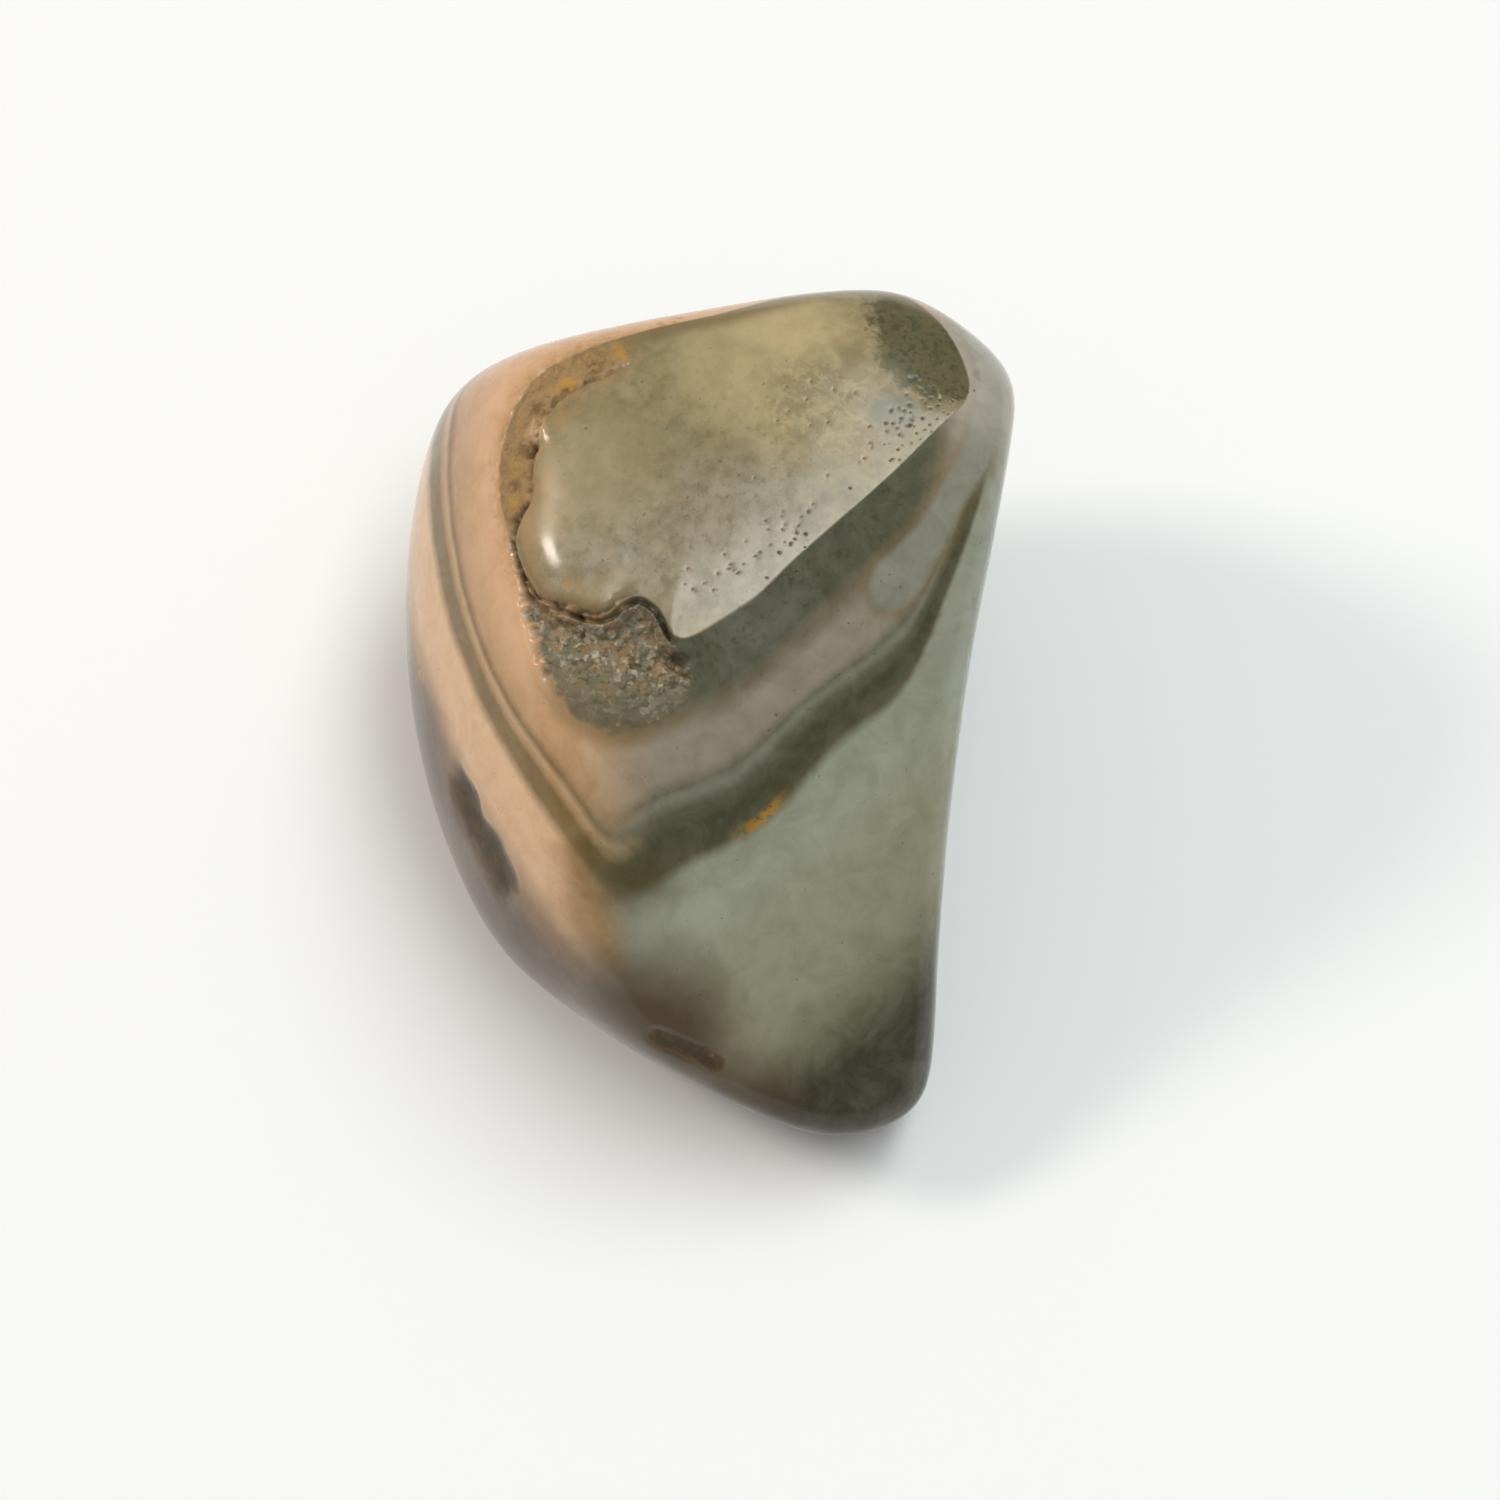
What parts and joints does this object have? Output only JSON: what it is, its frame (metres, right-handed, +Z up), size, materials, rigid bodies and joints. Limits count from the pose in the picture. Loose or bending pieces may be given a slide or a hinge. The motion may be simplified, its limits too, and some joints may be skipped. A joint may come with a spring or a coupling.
{
  "type": "tumbled chalcedony stone",
  "caption": "Tumbled, polished pebble of banded grey-green and cream chalcedony with a small crystal-lined pocket, lying on a small flat spot.",
  "frame": {"origin": "middle of the stone's outline seen from above, at the height of the flat spot it rests on", "axes": "+Z up; +Y along the stone's length, towards its thick end; +X across, towards the slightly hollow side"},
  "size_m": [0.0236, 0.0314, 0.021],
  "materials": {
    "polished_chalcedony": "tumbled to a polish; grey-green to cream bands, rough druse in the pocket"
  },
  "bodies": {
    "root": {"chalcedony_pebble": "polished_chalcedony"}
  },
  "joints": []
}
